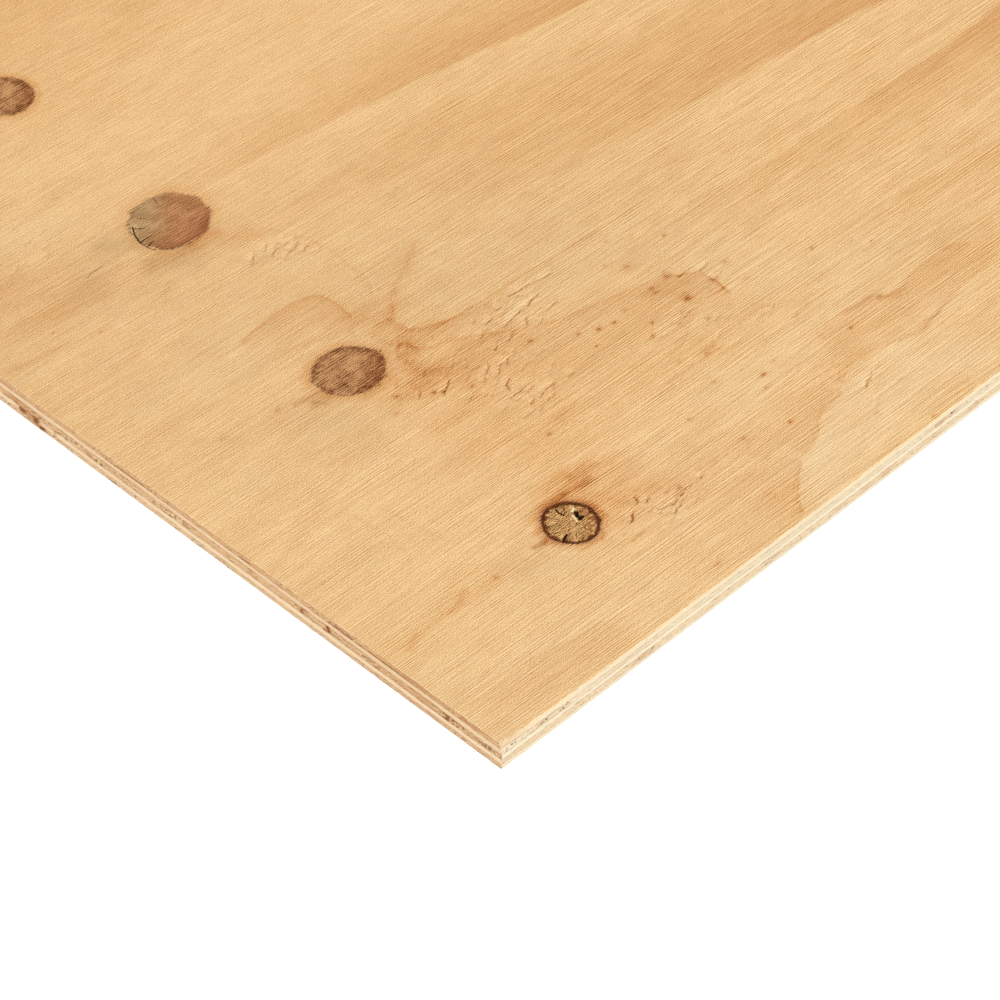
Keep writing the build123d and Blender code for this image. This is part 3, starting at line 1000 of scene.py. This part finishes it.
def knot_shape(wood, crisp, ray_scale=5.0, ray_detail=2.0):
    """Place within the nearest knot, distance from its middle, rays, spots, the grain's streaks and grit."""
    u, v, seed = wood.field("knot")
    r = (u * u + v * v).math("SQRT")
    safe = r.math("MAXIMUM", 0.001)
    rays = wood.noise((u / safe, v / safe, seed), ray_scale, ray_detail)
    spots = wood.noise((u, v, seed), 5.0, 4.0)
    grain = Streaks(wood, *wood.field("grain")[:2], 0.0)
    lines = 0.6 * grain.soft(7.0, 0.42, 8.1, detail=1.0) + crisp * grain.crisp(9.0, 0.45, 8.7)
    grit = 0.6 * grain.soft(0.8, 0.55, 9.3, detail=1.0) + grain.crisp(0.6, 0.5, 9.9)
    return u, v, r, rays, spots, lines, grit


def dead_knot(wood, colour, height):
    """A dead knot: a ragged black bark ring round dry olive wood with rays and cracks, the cracks drawn dark
    as painted shade.
    """
    u, v, r, rays, spots, lines, grit = knot_shape(wood, 1.2, 8.0, 3.0)
    _, grey, pale = wood.field("marks")
    rays = rays * r.fade(0.05, 0.5)
    tone = lines + 1.8 * grit - 2.0 * rays - 1.1 * spots + 0.62
    inside = tone.between(seen(112, 60, 18), seen(232, 182, 118))
    # Painted shade: radial cracks, with no relief, are drawn near black
    crack_shade = rays.fade(0.13, 0.20) * r.fade(0.3, 0.75)
    inside = inside.blend(0.8 * crack_shade, seen(54, 30, 14))
    low_right = (0.7 * u - 0.7 * v).fade(0.15, 0.7) * spots.fade(-0.1, 0.1)
    inside = inside.blend(0.6 * low_right, seen(158, 92, 44))
    inside = inside.blend(pale.fade(0.6, 1.4), seen(250, 224, 168))
    # Painted shade in the cracks, from the face's grey mark
    inside = inside.blend(grey.fade(0.3, 1.0), seen(40, 22, 10))
    halo = r.fade(1.5, 1.0) * (0.8 - 1.8 * lines + 0.6 * spots)
    colour = colour.darken(0.55 * halo, (0.76, 0.46, 0.24, 1))
    rim = r + 0.16 * spots + 0.08 * grit
    bleed = rim.fade(1.20, 1.0, 0.0, 0.85) * (0.8 - 2.0 * lines)
    colour = colour.blend(bleed, seen(146, 80, 42))
    colour = colour.blend(rim.fade(1.0, 0.94), inside)
    width = (0.08 + 0.20 * spots + 0.06 * grit).math("MAXIMUM", 0.03)
    bark = (abs(rim - BARK_RING) / width).fade(1.3, 0.6, 0.0, 0.97)
    colour = colour.blend(bark, grit.fade(-0.1, 0.2).between(seen(64, 26, 4), seen(132, 74, 38)))
    return colour, height + r.fade(1.05, 0.95) * (spots + 0.6 * grit)


def red_knot(wood, colour, height):
    """A live knot: brown with a dark ragged rim, a paler middle and the grain's streaks across it."""
    u, v, r, _, spots, lines, grit = knot_shape(wood, 0.6)
    stain = wood.field("marks")[0]
    blot = wood.noise((u, v, 4.7), 1.7, 3.0)
    rim = r.fade(0.60, 0.90) * spots.fade(-0.16, 0.12, 0.35, 1.0) * v.fade(-0.5, 0.4, 0.55, 1.0)
    low = (0.8 * u - 0.8 * v).fade(0.1, 0.8)
    aside_u, aside_v = u - 0.32, v - 0.15
    light = (aside_u * aside_u + 2.0 * aside_v * aside_v).fade(0.25, 0.0)
    tone = 2.0 * lines + 1.2 * grit - 1.3 * blot - 1.1 * spots - 0.34 * rim - 0.26 * low + 0.24 * light + 0.66
    inside = tone.between(seen(110, 54, 20), seen(212, 158, 106))
    inside = inside.darken(0.5 * low, (0.98, 0.76, 0.60, 1))
    inside = inside.darken(stain.fade(0.3, 1.0, 0.0, 0.8), (0.6, 0.35, 0.28, 1))
    halo = r.fade(1.36, 1.02) * (0.95 - 0.8 * lines)
    colour = colour.darken(0.55 * halo, (0.82, 0.58, 0.36, 1))
    edge = r + 0.20 * spots + 0.16 * lines + 0.10 * grit
    core = edge.fade(1.03, 0.93)
    bark = abs(edge - 0.97).fade(0.05, 0.01) * spots.fade(-0.06, 0.10, 0.0, 0.5)
    colour = colour.blend(core, inside).blend(bark, seen(92, 48, 22))
    return colour, height + core * (0.4 * lines + 0.4 * grit)


def grey_knot(wood, colour, height):
    """A part dead knot: dry and grey with black cracks, drawn as painted shade, on one side, pinkish brown on
    the other.
    """
    u, v, r, rays, spots, lines, grit = knot_shape(wood, 0.7)
    grey = wood.field("marks")[1]
    tone = 2.3 * lines + 1.3 * grit - 1.4 * wood.noise((u, v, 2.3), 1.8, 3.0) + 0.52
    # Painted shade: radial cracks, with no relief, are drawn near black
    crack_shade = rays.fade(0.14, 0.20) * r.fade(0.4, 0.8)
    dry = tone.between(seen(158, 118, 74), seen(216, 178, 128)).blend(0.7 * crack_shade, seen(60, 40, 22))
    red = tone.between(seen(140, 80, 42), seen(208, 150, 100))
    inside = dry.blend((0.7 * u - 0.7 * v + 1.2 * spots + lines).fade(-0.58, 0.04), red)
    low_rim = r.fade(0.66, 0.95) * v.fade(0.1, -0.6)
    inside = inside.darken(0.7 * low_rim, (0.70, 0.50, 0.42, 1))
    # Painted shade in the cracks, from the face's grey mark
    inside = inside.blend(grey.fade(0.3, 1.0), seen(44, 28, 16))
    halo = r.fade(1.4, 1.0) * (0.7 - 0.8 * lines)
    colour = colour.darken(0.42 * halo, (0.78, 0.52, 0.30, 1))
    edge = r + 0.18 * spots + 0.18 * lines + 0.08 * grit
    core = edge.fade(1.03, 0.93)
    bark = abs(edge - 0.97).fade(0.035, 0.01) * u.fade(0.1, -0.5) * grit.fade(-0.04, 0.08, 0.0, 0.85)
    colour = colour.blend(core, inside).blend(bark, seen(50, 28, 14))
    return colour, height + core * (0.4 * lines + 0.4 * grit)


def veneer_material(name, seed, knot=None):
    """The face or back of the sheet, plain or round one kind of knot."""
    wood = Wood(name)
    colour, height = veneer(wood, seed)
    if knot:
        colour, height = knot(wood, colour, height)
    return wood.finish(colour, height, 0.36)


def long_grain(grain, pale, middle, dark):
    """Wood cut along the grain: long faint streaks and a few dark specks. Returns colour and height."""
    lines, soft, fuzz = grain.soft(18.0, 0.45), grain.soft(46.0, 2.0, 5), grain.crisp(0.8, 0.45, 7)
    colour = (1.5 * lines + soft + 2.2 * fuzz + 0.5).between(middle, pale)
    speck = grain.soft(1.8, 0.28, 9) + 0.3 * soft
    return colour.blend(speck.fade(0.16, 0.28, 0.0, 0.6), dark), 0.8 * lines + 0.8 * fuzz


def end_grain(grain, pale, middle, dark, pore, spread):
    """Wood cut across the grain: mottled, with dark pores in short rows. Returns colour and height."""
    rays, bands = grain.soft(1.1, 1.4), grain.soft(10.0, 0.7, 5)
    patch, fuzz = grain.soft(24.0, 4.0, 17), grain.crisp(0.6, 0.45, 7)
    colour = (1.1 * rays + 1.4 * bands + 1.2 * patch + 2.0 * fuzz + 0.5).between(middle, pale)
    pores = grain.soft(*pore, 9, detail=1.0) + 0.6 * bands + 0.6 * patch
    return colour.blend(pores.fade(spread, spread + 0.12, 0.0, 0.85), dark), rays + fuzz - 0.8 * pores


def edge_material(ply, side, seed):
    """A cut edge of one ply: its wood, glue lines at its top and bottom, resin stains and open gaps, darkened
    with painted shade.
    """
    wood = Wood(ply + "_" + side)
    x, y, share = wood.field("edge")
    s, light = (y, END_LIGHT) if side == "end" else (x, LONG_EDGE_LIGHT)
    pale, middle, dark = [seen(*tone, light) for tone in EDGE_TONES[ply, side]]
    grain = Streaks(wood, s, PLY_HEIGHT * share, seed)
    if ("crossband" in ply) == (side == "end"):
        colour, height = long_grain(grain, pale, middle, dark)
        glue = 0.5
    else:
        colour, height = end_grain(grain, pale, middle, dark, *PORES[side])
        glue = 0.8
    place = Streaks(wood, s, share, seed)
    rise = share + 0.4 * place.soft(3.0, 3.0, 13)
    line = rise.fade(0.86, 1.0).math("MAXIMUM", rise.fade(0.15, 0.0))
    line = line * place.soft(7.0, 9.0, 25).fade(-0.12, 0.12, 0.35, 1.0)
    colour = colour.blend(glue * line, dark)
    stain, gap_shade, _ = wood.field("edge_marks")
    stain = stain * (1.0 + 2.6 * place.soft(1.6, 0.30, 21))
    colour = colour.darken(0.75 * stain, (0.66, 0.42, 0.26, 1))
    colour = colour.darken(stain.fade(0.8, 1.5, 0.0, 0.85), (0.42, 0.27, 0.20, 1))
    # Painted shade: the open gaps turn dark brown
    gap_shade = gap_shade * place.soft(0.7, 0.22, 35).fade(-0.10, 0.06)
    colour = colour.blend(gap_shade.fade(0.1, 0.7, 0.0, 0.95), seen(58, 32, 16))
    return wood.finish(colour, height, 0.24)


def ply_materials(ply, seed):
    """One ply's materials: top, underside, long edges, ends, then the knots."""
    flat = veneer_material(ply + "_flat", seed)
    edges = [edge_material(ply, side, seed) for side in ("long_edge", "end")]
    knots = zip(KNOT_KINDS, (dead_knot, red_knot, grey_knot)) if ply in KNOT_SIDES else ()
    return [flat, flat, *edges] + [veneer_material(f"{ply}_{kind}_knot", seed, knot) for kind, knot in knots]


def place_camera():
    """Puts the camera where the sheet's near bottom corner falls at its place in the picture."""
    a, e, roll = (math.radians(angle) for angle in (CAMERA_AZIMUTH, CAMERA_ELEVATION, CAMERA_ROLL))
    back = Vector((math.sin(a) * math.cos(e), -math.cos(a) * math.cos(e), math.sin(e)))
    level = Vector((math.cos(a), math.sin(a), 0))
    upright = back.cross(level)
    right = math.cos(roll) * level + math.sin(roll) * upright
    up = -math.sin(roll) * level + math.cos(roll) * upright
    distance = CORNER_DISTANCE / METRE
    aside, below = (distance * share / FOCAL_WIDTHS for share in (CORNER_RIGHT, CORNER_DOWN))
    data = bpy.data.cameras.new("camera")
    data.sensor_width = SENSOR
    data.lens = FOCAL_WIDTHS * SENSOR
    data.clip_start, data.clip_end = 0.05, 200
    camera = put("camera", data)
    place = Matrix.Translation(cad_box[0] - aside * right + below * up + distance * back)
    camera.matrix_world = place @ Matrix((right, up, back)).transposed().to_4x4()
    bpy.context.scene.camera = camera


def light_scene():
    """Even sky with one soft key light from the long edge's side."""
    scene = bpy.context.scene
    scene.view_settings.view_transform = "Standard"
    scene.world = bpy.data.worlds.new("studio")
    scene.world.use_nodes = True
    background = scene.world.node_tree.nodes["Background"]
    background.inputs["Color"].default_value = (1, 1, 1, 1)
    background.inputs["Strength"].default_value = SKY_STRENGTH
    data = bpy.data.lights.new("key", "SUN")
    data.energy = SUN_STRENGTH
    data.angle = math.radians(SUN_ANGLE)
    key = put("key", data)
    key.rotation_mode = "QUATERNION"
    key.rotation_quaternion = Vector(SUN_FROM).to_track_quat("Z", "Y")


def lay_floor():
    """A plain white floor under the sheet."""
    mesh = bpy.data.meshes.new("floor")
    reach, z = FLOOR_REACH, cad_box[0].z
    corners = [(-reach, -reach, z), (reach, -reach, z), (reach, reach, z), (-reach, reach, z)]
    mesh.from_pydata(corners, [], [(0, 1, 2, 3)])
    white = Wood("floor_white")
    surface = white.add("BsdfPrincipled", {"Base Color": (0.9, 0.9, 0.9, 1), "Roughness": 0.9})[0]
    white.add("OutputMaterial", {"Surface": surface})
    mesh.materials.append(white.material)
    floor = put("floor", mesh)


def build_sheet():
    """All five plies, each from the quilts of its two sides."""
    plain, face, back = quilt("plain"), quilt("face"), quilt("back")
    for ply, seed in zip(PLIES, WOOD_SEEDS):
        top = face if ply == "face_veneer" else plain
        bottom = back if ply == "back_veneer" else plain
        build_ply(ply, top, bottom, ply_materials(ply, seed))


build_sheet()
lay_floor()
light_scene()
place_camera()
